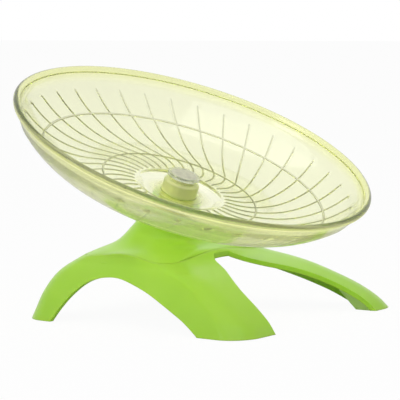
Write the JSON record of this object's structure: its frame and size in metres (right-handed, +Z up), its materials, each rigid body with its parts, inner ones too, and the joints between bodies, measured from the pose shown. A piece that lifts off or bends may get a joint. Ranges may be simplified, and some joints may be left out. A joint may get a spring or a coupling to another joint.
{
  "type": "hamster exercise wheel",
  "caption": "Clear ribbed saucer wheel for a hamster, spinning on a ball bearing at the top of a tilted lime green stand with arched legs.",
  "frame": {"origin": "on the floor, at the middle of the object's footprint, under the centre of the dish's rim", "axes": "+Z up, +X the way the dish tilts down, +Y across the tilt, to the left of someone facing +X"},
  "size_m": [0.1649, 0.18, 0.1192],
  "materials": {
    "leg_frame": "glossy lime green moulded plastic",
    "neck_cover": "glossy lime green moulded plastic",
    "foot_pad": "soft pale green rubber",
    "cover_screw": "zinc plated steel",
    "threaded_insert": "turned brass",
    "bearing_bush": "turned brass",
    "axle_washer": "zinc plated steel",
    "axle_screw": "zinc plated steel",
    "bearing_ring": "ground bearing steel",
    "bearing_ball": "polished bearing steel",
    "bearing_cage": "natural nylon",
    "bearing_shield": "pressed steel",
    "dish": "clear yellow-green moulded plastic",
    "hub_cap": "clear moulded plastic",
    "cap_disc": "mottled grey plastic"
  },
  "bodies": {
    "stand": {"leg_frame": "leg_frame", "neck_cover": "neck_cover", "cover_screw_1": "cover_screw", "cover_screw_2": "cover_screw", "cover_screw_3": "cover_screw", "cover_screw_4": "cover_screw", "foot_pad_front_left": "foot_pad", "foot_pad_front_right": "foot_pad", "foot_pad_rear_left": "foot_pad", "foot_pad_rear_right": "foot_pad", "threaded_insert": "threaded_insert", "bearing_bush": "bearing_bush", "axle_washer": "axle_washer", "axle_screw": "axle_screw", "bearing_inner_ring": "bearing_ring"},
    "dish": {"dish": "dish", "hub_cap": "hub_cap", "cap_disc": "cap_disc", "bearing_outer_ring": "bearing_ring", "bearing_shield_upper": "bearing_shield", "bearing_shield_lower": "bearing_shield"},
    "ball_set": {"bearing_ball_1": "bearing_ball", "bearing_ball_2": "bearing_ball", "bearing_ball_3": "bearing_ball", "bearing_ball_4": "bearing_ball", "bearing_ball_5": "bearing_ball", "bearing_ball_6": "bearing_ball", "bearing_ball_7": "bearing_ball", "bearing_cage": "bearing_cage"}
  },
  "joints": [
    {"name": "dish_spin", "type": "hinge", "parent": "stand", "child": "dish", "pos_m": [-0.00876, 0, 0.06204], "axis": [0.4019, 0, 0.9157], "continuous": true},
    {"name": "ball_set_spin", "type": "hinge", "parent": "stand", "child": "ball_set", "pos_m": [-0.00876, 0, 0.06204], "axis": [0.4019, 0, 0.9157], "continuous": true}
  ],
  "couplings": [
    {"joint": "ball_set_spin", "follows": "dish_spin", "ratio": 0.6154}
  ]
}
